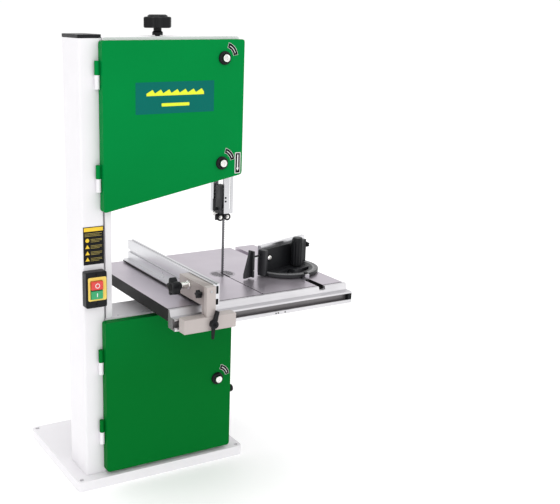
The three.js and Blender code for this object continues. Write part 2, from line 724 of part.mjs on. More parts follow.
function buildRail() {
  const { x, front, bottom, shelf, mouth, lip } = RAIL;
  const back = TABLE.y[0] - 0.4;
  const floor = front + 13; // of the T-shaped groove
  const profile = polygon([
    [back, bottom],
    [front, bottom],
    [front, mouth[0]],
    [front + lip, mouth[0]],
    [front + lip, mouth[0] - 4],
    [floor, mouth[0] - 4],
    [floor, mouth[1] + 2.5],
    [front + lip, mouth[1] + 2.5],
    [front + lip, mouth[1]],
    [front, mouth[1]],
    [front, shelf],
    [-177, shelf],
    [-171, TABLE.top - 0.5],
    [back, TABLE.top - 0.5],
  ]);
  const notch = block(grow([SLOT.x, SLOT.x], SLOT.width / 2), [-180, back + 1], [526, TABLE.top + 1]);
  add("front_rail", cut(extrude(profile, "yz", x), notch), "aluminium");
}

// ---------------------------------------------------------------- rip fence

function buildFence() {
  const { x, z, y, foot, groove } = FENCE;
  const toe = -165; // the foot starts behind the bracket's seat
  const profile = polygon([
    [foot[0], z[0]],
    [x[1], z[0]],
    [x[1], z[1]],
    [x[0] + 11, z[1]],
    [x[0] + 11, z[1] - 2.5],
    [x[0] + 6, z[1] - 2.5],
    [x[0] + 6, z[1]],
    [x[0], z[1]],
    [x[0], groove + 4],
    [x[0] + 6, groove + 4],
    [x[0] + 6, groove - 4],
    [x[0], groove - 4],
    [x[0], foot[1]],
    [foot[0], foot[1]],
  ]);
  const relief = block([foot[0] - 1, x[0]], [y[0] - 1, toe], [z[0] - 1, foot[1] + 1]);
  add("fence_bar", cut(extrude(profile, "xz", y), relief), "aluminium");
  add("fence_glide", block([foot[0] - 1, x[1]], [toe, y[1] - 2], [TABLE.top + LIFT, z[0] - GAP]), "black");

  const tongue = block(grow(CARRIER.x, -6), [CARRIER.y[1] - 1, RAIL.front + 4], grow(RAIL.mouth, -2));
  add("fence_carrier", join(block(CARRIER.x, CARRIER.y, CARRIER.z), tongue), "cast");

  const seat = CARRIER.z[1] + GAP;
  const side = BRACKET.x[0] - GAP; // where the knobs' stems end
  const bracket = join(
    block(BRACKET.x, BRACKET.y, BRACKET.z),
    block(BRACKET.x, [BRACKET.y[0], CARRIER.y[1]], [seat, BRACKET.z[0] + 1]),
    block([BRACKET.x[0] - 2, 193], [CARRIER.y[0], BRACKET.y[0] + 1], [seat, z[1]]),
  );
  add("fence_bracket", bracket, "cast");

  const { large, small } = KNOBS;
  const grip = extrude(lobed(23.5, 5, 8, large), "yz", [117, 137]);
  const stem = rod(5, "x", [136, side], large);
  const boss = rod(11, "x", [136, 143], large);
  add("fence_knob_large", join(grip, stem, boss), "black");

  const smallGrip = extrude(lobed(11, 5, 3.5, small), "yz", [155, 166]);
  add("fence_knob_small", join(smallGrip, rod(4, "x", [165, side], small)), "black");

  const front = CARRIER.y[0] - GAP;
  const pivot = [185, 506];
  const hub = rod(10, "y", [front - 13, front], pivot);
  const wide = [[179, 508], [191, 506], [198, 538], [190, 541]];
  const thin = [[179, 505], [188, 505], [184, 469], [179, 469]];
  const depth = [front - 11, front - 4];
  const arms = [wide, thin].map((points) => extrude(polygon(points), "xz", depth));
  add("fence_lever", join(hub, ...arms), "black");
}

// ---------------------------------------------------------------- mitre gauge

function buildMitreGauge() {
  const slotFloor = TABLE.top - SLOT.depth + 0.4;
  const { radius, plate, wall, bar } = MITRE;
  const lug = [bar[0], MITRE.y - radius - 4]; // carries the pointer in front of the scale
  const slide = join(
    block(grow([SLOT.x, SLOT.x], SLOT.width / 2 - 0.4), bar, [slotFloor, TABLE.top - 0.2]),
    block(grow([SLOT.x, SLOT.x], 7), lug, [TABLE.top - 1, plate[1] + 4]),
  );
  add("mitre_bar", slide, "steel");

  const head = new THREE.Group();
  head.position.set(SLOT.x, MITRE.y, 0);
  head.rotation.z = THREE.MathUtils.degToRad(MITRE.angle);
  saw.add(head);

  const half = new THREE.Shape().absarc(0, 0, radius, Math.PI, TURN, false);
  const window = new THREE.Path();
  window.absarc(0, -12, radius - 36, Math.PI * 1.08, Math.PI * 1.92, false);
  window.closePath();
  half.holes.push(window);
  const end = -radius - 9; // left end of the head
  const wallY = [-2, 10];
  const casting = join(
    extrude(half, "xy", plate, 12),
    block([end, radius], wallY, [plate[0], wall - 2]),
    block([end, end + 12], [-16, wallY[1] - 2], [plate[0], wall]),
    block([-12, 50], [-50, 2], [plate[0], plate[1] + 1]),
  );
  add("mitre_head", casting, "black", head);
  add("mitre_fence", block([-92, 102], [wallY[1] + GAP, 22], [542, wall + 7]), "aluminium", head);

  const { at, radius: hold, top } = MITRE_HANDLE;
  const seat = plate[1] + 1 + GAP;
  const grip = [
    [0, seat],
    [hold - 5, seat],
    [hold - 1, seat + 6],
    [hold, top - 15],
    [hold - 5, top],
    [0, top],
  ];
  add("mitre_handle", turned(grip, "z", at, 24), "black", head);

  const post = [-138, -133]; // the stop's upright, with a gusset on its left
  const low = 540;
  const tip = post[0] - 26;
  const gusset = polygon([
    [post[0] + 1, low],
    [post[0] + 1, wall],
    [post[0] - 5, wall],
    [tip, 552],
    [tip, low],
  ]);
  const stop = join(
    block(post, [-4, 16], [low, wall + 2]),
    extrude(gusset, "xz", [4, 10]),
    rod(2.5, "x", [post[1] - 1, end - GAP], [4, wall - 16]),
  );
  add("mitre_stop", stop, "black", head);
}

buildBase();
buildColumn();
buildUpperHousing();
buildLowerHousing();
buildDustPort();
buildBladeChannel();
buildDoors();
buildLatches();
buildSwitch();
buildWheel("upper", WHEEL.upperZ, 10);
buildWheel("lower", WHEEL.lowerZ, 12.3);
buildBlade();
buildTension();
buildDrive();
buildMotor();
buildBeltKnob();
buildGuides();
buildTable();
buildRail();
buildFence();
buildMitreGauge();

saw.position.set(-MIDDLE.x, -MIDDLE.y, 0);

export default saw;
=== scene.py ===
"""The looks of a floor-standing band saw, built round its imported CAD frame."""

import json
from math import cos, pi, radians, sin, sqrt

import bmesh
import bpy
from mathutils import Matrix, Vector

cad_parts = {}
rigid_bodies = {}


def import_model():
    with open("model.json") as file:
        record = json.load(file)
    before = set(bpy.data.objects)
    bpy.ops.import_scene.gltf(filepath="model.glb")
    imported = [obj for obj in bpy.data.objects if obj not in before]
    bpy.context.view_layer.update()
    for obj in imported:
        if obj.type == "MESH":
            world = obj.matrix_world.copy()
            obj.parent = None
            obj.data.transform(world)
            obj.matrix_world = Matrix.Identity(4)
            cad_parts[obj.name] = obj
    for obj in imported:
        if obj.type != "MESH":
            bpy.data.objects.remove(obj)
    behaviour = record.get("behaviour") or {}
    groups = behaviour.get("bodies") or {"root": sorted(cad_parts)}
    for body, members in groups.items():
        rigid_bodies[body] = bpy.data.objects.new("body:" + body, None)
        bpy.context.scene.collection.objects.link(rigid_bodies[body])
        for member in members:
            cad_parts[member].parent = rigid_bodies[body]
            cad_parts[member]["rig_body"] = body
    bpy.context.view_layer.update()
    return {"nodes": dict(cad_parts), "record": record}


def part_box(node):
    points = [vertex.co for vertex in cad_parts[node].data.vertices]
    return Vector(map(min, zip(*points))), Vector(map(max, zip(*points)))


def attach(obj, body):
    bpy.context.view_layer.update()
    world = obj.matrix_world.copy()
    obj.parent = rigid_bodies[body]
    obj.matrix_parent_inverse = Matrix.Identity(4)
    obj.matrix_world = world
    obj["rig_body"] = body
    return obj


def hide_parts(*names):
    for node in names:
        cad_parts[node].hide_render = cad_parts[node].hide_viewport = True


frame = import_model()

# ---------------------------------------------------------------- the saw's own millimetres

# Pieces are drawn in millimetres: X from the doors' left edge, Y from the doors' front, Z from the floor.
DOOR_WIDTH = 400
_door_low, _door_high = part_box("upper_door")
ORIGIN = Vector((_door_high.x - DOOR_WIDTH / 1000, _door_low.y, 0))
TO_FRAME = Matrix.Translation(ORIGIN) @ Matrix.Scale(0.001, 4)


def span(node):
    """A CAD node's lowest and highest corners in the saw's millimetres."""
    low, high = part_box(node)
    return (low - ORIGIN) * 1000, (high - ORIGIN) * 1000


def middle(node):
    low, high = span(node)
    return (low + high) / 2


SLOT_OF = {part["node"]: part["material_slot"] for part in frame["record"]["subparts"]}
BODY_OF = {name: node["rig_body"] for name, node in frame["nodes"].items()}

# ---------------------------------------------------------------- materials


class Nodes:
    """A material's node tree, with short ways to add nodes to it."""

    def __init__(self, name):
        self.material = bpy.data.materials.new(name)
        self.material.use_nodes = True
        self.tree = self.material.node_tree
        self.shader = self.tree.nodes["Principled BSDF"]
        self.place = self.tree.nodes.new("ShaderNodeTexCoord").outputs["Object"]

    def add(self, kind, **settings):
        node = self.tree.nodes.new(kind)
        for key, value in settings.items():
            setattr(node, key, value)
        return node

    def feed(self, source, target):
        self.tree.links.new(source, target)

    def stretched(self, scale):
        mapping = self.add("ShaderNodeMapping")
        mapping.inputs["Scale"].default_value = scale
        self.feed(self.place, mapping.inputs["Vector"])
        return mapping.outputs["Vector"]

    def noise(self, scale, detail=3.0, place=None):
        node = self.add("ShaderNodeTexNoise")
        node.inputs["Scale"].default_value = scale
        node.inputs["Detail"].default_value = detail
        self.feed(place or self.place, node.inputs["Vector"])
        return node.outputs["Fac"]

    def between(self, value, low, high, start=0.3, end=0.7):
        node = self.add("ShaderNodeMapRange")
        node.inputs["From Min"].default_value = start
        node.inputs["From Max"].default_value = end
        node.inputs["To Min"].default_value = low
        node.inputs["To Max"].default_value = high
        self.feed(value, node.inputs["Value"])
        return node.outputs["Result"]

    def blend(self, factor, first, second):
        node = self.add("ShaderNodeMix", data_type="RGBA")
        self.feed(factor, node.inputs["Factor"])
        for socket, colour in ((node.inputs["A"], first), (node.inputs["B"], second)):
            if isinstance(colour, tuple):
                socket.default_value = (*colour, 1)
            else:
                self.feed(colour, socket)
        return node.outputs["Result"]

    def bump(self, height, distance, strength=1.0, under=None):
        node = self.add("ShaderNodeBump")
        node.inputs["Strength"].default_value = strength
        node.inputs["Distance"].default_value = distance
        self.feed(height, node.inputs["Height"])
        if under:
            self.feed(under, node.inputs["Normal"])
        return node.outputs["Normal"]


def shade(colour, factor):
    return tuple(min(1.0, part * factor) for part in colour)


def finish_material(name, colour, roughness, metallic=0.0, **options):
    """A surface with a drifting colour, uneven gloss, a fine relief and, if asked for, worn edges and painted
    shade that darkens it towards the floor.
    """
    drift = options.get("drift", 0.05)
    patch = options.get("patch", 9.0)
    grain = options.get("grain", 700.0)
    relief = options.get("relief", 0.00006)
    uneven = options.get("uneven", 0.06)
    streak = options.get("streak")
    wear = options.get("wear")
    nodes = Nodes(name)
    shader = nodes.shader
    slow = nodes.noise(patch, 5.0)
    fine_place = nodes.stretched(streak) if streak else None
    fine = nodes.noise(grain, 4.0, fine_place)
    tint = nodes.blend(
        nodes.between(slow, 0, 1), shade(colour, 1 - drift), shade(colour, 1 + drift)
    )
    tint = nodes.blend(nodes.between(fine, 0, options.get("speck", 0.12)), tint, shade(colour, 0.55))
    # The low colour is painted shade: the surface turns to it towards the bottom, from 0.9 m down to 0.3 m,
    # as if lit less there.
    if "low" in options:
        height = nodes.add("ShaderNodeSeparateXYZ")
        nodes.feed(nodes.place, height.inputs["Vector"])
        tint = nodes.blend(nodes.between(height.outputs["Z"], 1, 0, 0.3, 0.9), tint, options["low"])
    if wear:
        edge = nodes.add("ShaderNodeNewGeometry").outputs["Pointiness"]
        tint = nodes.blend(nodes.between(edge, 0, 0.5, 0.515, 0.56), tint, wear)
    nodes.feed(tint, shader.inputs["Base Color"])
    gloss = nodes.noise(patch * 3.3, 6.0)
    nodes.feed(
        nodes.between(gloss, roughness - uneven, roughness + uneven), shader.inputs["Roughness"]
    )
    nodes.feed(nodes.bump(fine, relief), shader.inputs["Normal"])
    shader.inputs["Metallic"].default_value = metallic
    shader.inputs["Coat Weight"].default_value = options.get("coat", 0.0)
    shader.inputs["Coat Roughness"].default_value = 0.12
    if "specular" in options:
        shader.inputs["Specular IOR Level"].default_value = options["specular"]
    return nodes.material


ALONG_X = (0.02, 1, 1)
ALONG_Y = (1, 0.02, 1)
ALONG_Z = (1, 1, 0.02)

SMOOTH_METAL = {"speck": 0.03, "relief": 0.000012, "grain": 900, "uneven": 0.03, "drift": 0.03}
PLAIN = {"speck": 0.02, "relief": 0.00001, "drift": 0.03}

FINISH = {
    "white_paint": finish_material(
        "white_paint", (0.79, 0.775, 0.8), 0.38, drift=0.015, speck=0.01, grain=420, relief=0.00001, coat=0.15
    ),
    "green_paint": finish_material(
        "green_paint",
        (0.0, 0.212, 0.042),
        0.4,
        drift=0.05,
        patch=3.0,
        speck=0.02,
        grain=420,
        relief=0.00001,
        specular=0.03,
        # Painted shade: the doors darken towards the floor, though it is the same green paint, lit less low
        # down.
        low=(0.0, 0.142, 0.019),
    ),
    "black_plastic": finish_material(
        "black_plastic",
        (0.009, 0.0095, 0.011),
        0.38,
        drift=0.12,
        speck=0.05,
        grain=1500,
        relief=0.00004,
        specular=0.16,
    ),
    "black_cast": finish_material(
        "black_cast",
        (0.012, 0.0125, 0.0145),
        0.42,
        drift=0.15,
        speck=0.06,
        grain=1100,
        relief=0.00007,
        specular=0.18,
        wear=(0.08, 0.08, 0.085),
    ),
    "red_plastic": finish_material("red_plastic", (0.68, 0.04, 0.035), 0.3, coat=0.3, **PLAIN),
    "green_plastic": finish_material("green_plastic", (0.01, 0.34, 0.12), 0.3, coat=0.3, **PLAIN),
    "wheel_aluminium": finish_material(
        "wheel_aluminium", (0.62, 0.62, 0.64), 0.38, 0.9, drift=0.08, grain=600, relief=0.0001, uneven=0.1
    ),
    "rubber": finish_material("rubber", (0.018, 0.018, 0.019), 0.75, drift=0.25, grain=1300, relief=0.0002),
    "blade_steel": finish_material(
        "blade_steel", (0.13, 0.13, 0.14), 0.36, 0.85, drift=0.15, grain=500, streak=ALONG_Z, relief=0.00003
    ),
    "steel": finish_material(
        "steel",
        (0.6, 0.6, 0.62),
        0.27,
        1.0,
        drift=0.05,
        speck=0.05,
        grain=900,
        streak=ALONG_Z,
        relief=0.00002,
    ),
    "dark_steel": finish_material(
        "dark_steel", (0.1, 0.1, 0.105), 0.42, 0.8, drift=0.2, grain=700, relief=0.0001, wear=(0.3, 0.3, 0.3)
    ),
    "grey_paint": finish_material(
        "grey_paint",
        (0.075, 0.082, 0.09),
        0.4,
        drift=0.1,
        grain=500,
        relief=0.00005,
        coat=0.15,
        wear=(0.2, 0.2, 0.21),
    ),
    "table_iron": finish_material(
        "table_iron",
        (0.52, 0.475, 0.53),
        0.33,
        0.85,
        drift=0.05,
        patch=5.0,
        speck=0.05,
        grain=1000,
        streak=ALONG_X,
        relief=0.000015,
        uneven=0.04,
    ),
    "aluminium": finish_material("aluminium", (0.7, 0.7, 0.72), 0.3, 1.0, streak=ALONG_X, **SMOOTH_METAL),
    "beige_cast": finish_material(
        "beige_cast",
        (0.3, 0.255, 0.245),
        0.4,
        0.2,
        drift=0.06,
        speck=0.05,
        grain=800,
        relief=0.00008,
        wear=(0.6, 0.55, 0.53),
    ),
}
FENCE_ALUMINIUM = finish_material(
    "fence_aluminium", (0.66, 0.66, 0.68), 0.3, 1.0, streak=ALONG_Y, **SMOOTH_METAL
)
RAIL_ALUMINIUM = finish_material(
    "rail_aluminium",
    (0.66, 0.65, 0.67),
    0.34,
    0.95,
    streak=ALONG_X,
    speck=0.2,
    grain=420,
    relief=0.00004,
    uneven=0.05,
)
# A darker copy of the rail's aluminium: painted shade inside the groove.
GROOVE_SHADE_METAL = finish_material(
    "groove_painted_shade", (0.2, 0.19, 0.195), 0.45, 0.6, streak=ALONG_X, **SMOOTH_METAL
)
INSERT_METAL = finish_material("insert_metal", (0.42, 0.39, 0.43), 0.36, 0.85, **SMOOTH_METAL)
TABLE_PAINT = finish_material(
    "table_side_paint", (0.009, 0.008, 0.0085), 0.55, drift=0.15, speck=0.05, relief=0.00008, specular=0.18
)
CHROME = finish_material("bright_metal", (0.8, 0.79, 0.77), 0.16, 1.0, **SMOOTH_METAL)
SCREW = finish_material("screw_zinc", (0.55, 0.55, 0.56), 0.3, 1.0, **SMOOTH_METAL)
# Near-black, for black screws and bearing races, and also for painted shade: dark sheets set where slots,
# hollows and recesses would lie in shade.
DARK = finish_material("black_and_painted_shade", (0.005, 0.005, 0.006), 0.6, drift=0.2, relief=0.00002, specular=0.15)
WHITE_INK = finish_material("white_ink", (0.82, 0.82, 0.81), 0.35, **PLAIN)
BLACK_INK = finish_material("black_ink", (0.006, 0.006, 0.007), 0.35, specular=0.15, **PLAIN)
YELLOW_INK = finish_material("yellow_ink", (0.83, 0.55, 0.02), 0.35, **PLAIN)
DIM_INK = finish_material("dim_yellow_ink", (0.42, 0.33, 0.07), 0.35, **PLAIN)
YELLOW_PLATE = finish_material("yellow_plate", (0.85, 0.62, 0.12), 0.35, **PLAIN)
TEAL_INK = finish_material("teal_plate", (0.0, 0.13, 0.105), 0.35, specular=0.08, **PLAIN)
LIME_INK = finish_material("lime_ink", (0.72, 0.8, 0.01), 0.35, **PLAIN)
SCALE_GREY = finish_material("scale_band", (0.2, 0.2, 0.205), 0.4, **PLAIN)

# ---------------------------------------------------------------- shapes

PLANES = {
    "xy": lambda a, b, c: (a, b, c),
    "xz": lambda a, b, c: (a, c, b),
    "yz": lambda a, b, c: (c, a, b),
}


def facing_out(bm):
    bmesh.ops.recalc_face_normals(bm, faces=bm.faces)
    return bm


def prism(outline, plane, span_):
    """An outline drawn in a plane and given thickness along the third axis."""
    bm = bmesh.new()
    rings = [[bm.verts.new(PLANES[plane](a, b, c)) for a, b in outline] for c in span_]
    bm.faces.new(rings[0])
    bm.faces.new(rings[1])
    count = len(outline)
    for i in range(count):
        j = (i + 1) % count
        bm.faces.new((rings[0][i], rings[0][j], rings[1][j], rings[1][i]))
    return facing_out(bm)


def block(x, y, z):
    return prism([(x[0], y[0]), (x[1], y[0]), (x[1], y[1]), (x[0], y[1])], "xy", z)


TURNS = {
    "x": lambda c, r, h, t: (h, c[0] + r * cos(t), c[1] + r * sin(t)),
    "y": lambda c, r, h, t: (c[0] + r * cos(t), h, c[1] + r * sin(t)),
    "z": lambda c, r, h, t: (c[0] + r * cos(t), c[1] + r * sin(t), h),
}


def turned(profile, axis, centre, steps=64):
    """A body of revolution. The profile lists (radius, distance along the axis)."""
    bm = bmesh.new()
    closed = profile[0] == profile[-1]
    points = profile[:-1] if closed else profile
    rings = []
    for radius, along in points:
        if radius == 0:
            rings.append([bm.verts.new(TURNS[axis](centre, 0, along, 0))] * steps)
        else:
            rings.append(
                [bm.verts.new(TURNS[axis](centre, radius, along, 2 * pi * i / steps)) for i in range(steps)]
            )
    pairs = list(zip(rings, rings[1:] + (rings[:1] if closed else [])))
    for first, second in pairs:
        for i in range(steps):
            j = (i + 1) % steps
            corners = []
            for vertex in (first[i], first[j], second[j], second[i]):
                if vertex not in corners:
                    corners.append(vertex)
            if len(corners) > 2:
                bm.faces.new(corners)
    return facing_out(bm)


def rod(radius, axis, along, centre, steps=48):
    return turned([(0, along[0]), (radius, along[0]), (radius, along[1]), (0, along[1])], axis, centre, steps)


def arc(radius, start, end, steps=24, centre=(0, 0)):
    """Points along an arc, with its angles in degrees."""
    angles = [radians(start + (end - start) * i / steps) for i in range(steps + 1)]
    return [(centre[0] + radius * cos(t), centre[1] + radius * sin(t)) for t in angles]


def sector(inner, outer, start, end, centre):
    return arc(outer, start, end, 16, centre) + arc(inner, end, start, 16, centre)


def lobed(radius, lobes, depth, centre, steps=16):
    points = []
    for i in range(lobes * steps):
        angle = 2 * pi * i / (lobes * steps)
        r = radius - depth * (1 - cos(lobes * angle)) / 2
        points.append((centre[0] + r * cos(angle), centre[1] + r * sin(angle)))
    return points


def round_box(x, z, radius, steps=5):
    """The outline of a rectangle with round corners."""
    points = []
    for cx, cz, start in (
        (x[1] - radius, z[1] - radius, 0),
        (x[0] + radius, z[1] - radius, 90),
        (x[0] + radius, z[0] + radius, 180),
        (x[1] - radius, z[0] + radius, 270),
    ):
        points += arc(radius, start, start + 90, steps, (cx, cz))
    return points


def soften(bm, width, segments=2, angle=32):
    """Rounds the edges of a shape that turn by more than the angle."""
    sharp = [e for e in bm.edges if len(e.link_faces) == 2 and e.calc_face_angle(0) > radians(angle)]
    bmesh.ops.bevel(
        bm, geom=sharp, offset=width, segments=segments, profile=0.5, affect="EDGES", clamp_overlap=True
    )
    return bm


def _solid(bm):
    mesh = bpy.data.meshes.new("working")
    bm.to_mesh(mesh)
    bm.free()
    obj = bpy.data.objects.new("working", mesh)
    bpy.context.scene.collection.objects.link(obj)
    return obj


def combined(operation, first, others):
    """One mesh made from several by joining or cutting."""
    base = _solid(first)
    tools = [_solid(bm) for bm in others]
    for tool in tools:
        modifier = base.modifiers.new("with", "BOOLEAN")
        modifier.operation = operation
        modifier.solver = "EXACT"
        modifier.object = tool
    graph = bpy.context.evaluated_depsgraph_get()
    result = bmesh.new()
    result.from_mesh(base.evaluated_get(graph).to_mesh())
    for obj in [base, *tools]:
        mesh = obj.data
        bpy.data.objects.remove(obj)
        bpy.data.meshes.remove(mesh)
    return result


def fused(first, *others):
    return combined("UNION", first, others)


def carved(first, *others):
    return combined("DIFFERENCE", first, others)


def together(*shapes):
    """Several shapes that don't touch, as one mesh."""
    whole = bmesh.new()
    for bm in shapes:
        mesh = bpy.data.meshes.new("working")
        bm.to_mesh(mesh)
        bm.free()
        whole.from_mesh(mesh)
        bpy.data.meshes.remove(mesh)
    return whole


def piece(name, bm, body, material, replaces=(), smooth=38, scaled=True):
    """Makes a shape into a piece of the saw that rides on a body."""
    if scaled:
        bm.transform(TO_FRAME)
    for face in bm.faces:
        face.smooth = True
    for edge in bm.edges:
        edge.smooth = len(edge.link_faces) == 2 and edge.calc_face_angle(0) < radians(smooth)
    mesh = bpy.data.meshes.new(name)
    bm.to_mesh(mesh)
    bm.free()
    materials = material if isinstance(material, list) else [material]
    for each in materials:
        mesh.materials.append(each)
    obj = bpy.data.objects.new(name, mesh)
    bpy.context.scene.collection.objects.link(obj)
    weighted = obj.modifiers.new("weighted normals", "WEIGHTED_NORMAL")
    weighted.keep_sharp = True
    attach(obj, body)
    if replaces:
        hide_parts(*replaces)
    return obj


def detail(name, bm, like, material, slot=None):
    """A small piece that rides with a CAD node."""
    return piece(name, bm, BODY_OF[like], material)


def restyle(node, bm, material=None, smooth=38):
    """A finer shape in place of a CAD node."""
    return piece(
        f"{node}_fine", bm, BODY_OF[node], material or FINISH[SLOT_OF[node]], [node], smooth
    )


def screw(x, y, z, axis, radius=4, height=2.4, sign=-1):
    """A domed socket screw. The sign says which way its head faces along its axis."""
    centre = {"x": (y, z), "y": (x, z), "z": (x, y)}[axis]
    base = {"x": x, "y": y, "z": z}[axis]
    profile = [
        (0, base + sign * height * 0.3),
        (radius * 0.42, base + sign * height * 0.3),
        (radius * 0.5, base + sign * height),
        (radius * 0.8, base + sign * height * 0.92),
        (radius, base + sign * height * 0.45),
        (radius, base),
        (0, base),
    ]
    return turned(profile, axis, centre, 24)


def hex_bolt(x, y, z, axis, radius=6, height=4.5, sign=1):
    """A hexagon head on a washer."""
    centre = {"x": (y, z), "y": (x, z), "z": (x, y)}[axis]
    base = {"x": x, "y": y, "z": z}[axis]
    plane = {"x": "yz", "y": "xz", "z": "xy"}[axis]
    washer = rod(radius * 1.25, axis, sorted([base, base + sign * 1.2]), centre, 32)
    ends = sorted([base + sign * 1.2, base + sign * (height + 1.2)])
    head = prism(arc(radius, 0, 300, 5, centre), plane, ends)
    return together(washer, soften(head, 0.5, 2))


# ---------------------------------------------------------------- the CAD nodes, with softened edges

EDGE = {
    "base_plate": 1.6,
    "column": 0.8,
    "upper_door": 0.9,
    "lower_door": 0.9,
    "table": 0.7,
    "front_rail": 0.6,
    "fence_bar": 0.5,
    "fence_carrier": 1.4,
    "fence_bracket": 1.2,
    "fence_lever": 1.6,
    "fence_glide": 0.5,
    "stop_button": 1.6,
    "start_button": 1.6,
    "switch_box": 1.6,
    "guide_block": 1.0,
    "guide_clamp_lever": 1.0,
    "mitre_stop": 0.6,
    "mitre_fence": 0.7,
    "column_cap": 1.0,
    "motor": 0.8,
    "upper_wheel": 0.8,
    "lower_wheel": 0.8,
}
FINE_ELSEWHERE = {
    "tension_knob",
    "tracking_knob",
    "guide_handwheel",
    "belt_tension_knob",
    "fence_knob_large",
    "fence_knob_small",
    "mitre_head",
    "mitre_handle",
    "guide_bearing_left",
    "guide_bearing_right",
    "thrust_bearing",
    "table_insert",
    "blade",
    "dust_port",
    "upper_latch_top",
    "upper_latch_bottom",
    "lower_latch",
}


def cad_shape(node):
    bm = bmesh.new()
    bm.from_mesh(frame["nodes"][node].data)
    bmesh.ops.remove_doubles(bm, verts=bm.verts, dist=1e-6)
    bmesh.ops.dissolve_limit(bm, angle_limit=radians(0.6), verts=bm.verts, edges=bm.edges)
    return bm


SLOT_X = 555


def is_ground(face):
    """Whether a face of the table is bright metal: its top, or a wall or the floor of the mitre slot."""
    depth = (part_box("table")[1].z - face.calc_center_median().z) * 1000
    across = (face.calc_center_median().x - ORIGIN.x) * 1000
    in_slot = abs(across - SLOT_X) < 10 and depth < 9.6
    return in_slot or (face.normal.z > 0.3 and depth < 9.6)


# The rail's groove, a little wider and deeper than its faces. Its faces get a darker copy of the rail's
# aluminium, as painted shade.
GROOVE_Y = (-197, -186.5)
GROOVE_Z = (492.5, 517)


def is_in_groove(place):
    """Whether a point in the saw's millimetres lies inside the rail's groove."""
    return GROOVE_Y[0] < place.y < GROOVE_Y[1] and GROOVE_Z[0] < place.z < GROOVE_Z[1]


def build_softened_nodes():
    for node in sorted(frame["nodes"]):
        if node in FINE_ELSEWHERE:
            continue
        bm = soften(cad_shape(node), EDGE.get(node, 0.5) / 1000)
        material = FINISH[SLOT_OF[node]]
        if node == "table":
            material = [TABLE_PAINT, FINISH["table_iron"]]
            for face in bm.faces:
                face.material_index = int(is_ground(face))
        if node == "fence_bar":
            material = FENCE_ALUMINIUM
        # The rail's groove faces get the darker aluminium: painted shade.
        if node == "front_rail":
            material = [RAIL_ALUMINIUM, GROOVE_SHADE_METAL]
            for face in bm.faces:
                place = (face.calc_center_median() - ORIGIN) * 1000
                face.material_index = int(is_in_groove(place))
        piece(f"{node}_fine", bm, BODY_OF[node], material, [node], scaled=False)


# ---------------------------------------------------------------- doors, latches and labels


def build_latches():
    shapes = (("upper_latch_top", False), ("upper_latch_bottom", True), ("lower_latch", True))
    for node, up in shapes:
        low, high = span(node)
        x = (low.x + high.x) / 2
        z = high.z - 44 if up else low.z + 44
        bezel = [
            (0, -6),
            (11, -6),
            (12.4, -7.6),
            (14.5, -7.2),
            (17, -4.6),
            (17.5, -1.5),
            (17.5, -0.3),
            (8, -0.3),
            (8, 34.5),
            (0, 34.5),
        ]
        cam = block((x - 7, x + 7), (31, 34), (z - 8, z + 44) if up else (z - 44, z + 8))
        restyle(node, fused(turned(bezel, "y", (x, z)), soften(cam, 0.6)), smooth=40)
        button = turned([(0, -14), (8, -14), (9.4, -13.2), (10, -12), (10.4, -6.1), (0, -6.1)], "y", (x, z))
        slot = block((x - 1.2, x + 1.2), (-15, -12.6), (z - 5.5, z + 5.5))
        detail(f"{node}_button", carved(button, slot), node, CHROME, "steel")


def sticker(name, outline, level, like, material, plane="xz", depth=0.15):
    """A printed patch. Level 0 lies on the surface, and each further level lies on the one below."""
    surface = {"upper_door": 0.0, "lower_door": 0.0, "column": 25.2}[like]
    back = surface - level * depth
    detail(name, prism(outline, plane, (back - depth, back)), like, material)


def build_lock_signs():
    doors = {"upper_latch_top": "upper_door", "upper_latch_bottom": "upper_door", "lower_latch": "lower_door"}
    for node, door in doors.items():
        low, high = span(node)
        x = (low.x + high.x) / 2
        z = low.z + 44 if node == "upper_latch_top" else high.z - 44
        centre = (x + 1, z + 1)
        sticker(f"{node}_sign_edge", sector(25.6, 39.4, 10, 74, centre), 0, door, WHITE_INK)
        sticker(f"{node}_sign", sector(26.4, 38.6, 11, 73, centre), 1, door, BLACK_INK)
        sticker(f"{node}_sign_arc", sector(31.6, 33.0, 20, 64, centre), 2, door, WHITE_INK)


def build_door_labels():
    sticker("name_plate", round_box((88, 311), (995, 1074), 1.5), 0, "upper_door", TEAL_INK)
    left, right, base, tooth = 118, 281, 1046, 9
    count = 7
    pitch = (right - left) / count
    teeth = [(left, base - 6)]
    for i in range(count):
        teeth += [(left + i * pitch, base), (left + i * pitch + pitch * 0.72, base + tooth)]
    teeth += [(right, base), (right, base - 6)]
    sticker("name_plate_saw_motif", teeth, 1, "upper_door", LIME_INK)
    sticker("name_plate_bar", round_box((160, 239), (1013, 1021), 2), 1, "upper_door", LIME_INK)
    x, z = (378, 395), (827, 883)
    sticker("arrow_sign_edge", round_box(x, z, 1), 0, "upper_door", WHITE_INK)
    edge = 1.8
    inner = round_box((x[0] + edge, x[1] - edge), (z[0] + edge, z[1] - edge), 0.6)
    sticker("arrow_sign", inner, 1, "upper_door", BLACK_INK)
    cx = (x[0] + x[1]) / 2
    arrow = [
        (cx, z[0] + 7),
        (cx + 4.4, z[0] + 15),
        (cx + 1.5, z[0] + 15),
        (cx + 1.5, z[1] - 6),
        (cx - 1.5, z[1] - 6),
        (cx - 1.5, z[0] + 15),
        (cx - 4.4, z[0] + 15),
    ]
    sticker("arrow_sign_arrow", arrow, 2, "upper_door", WHITE_INK)


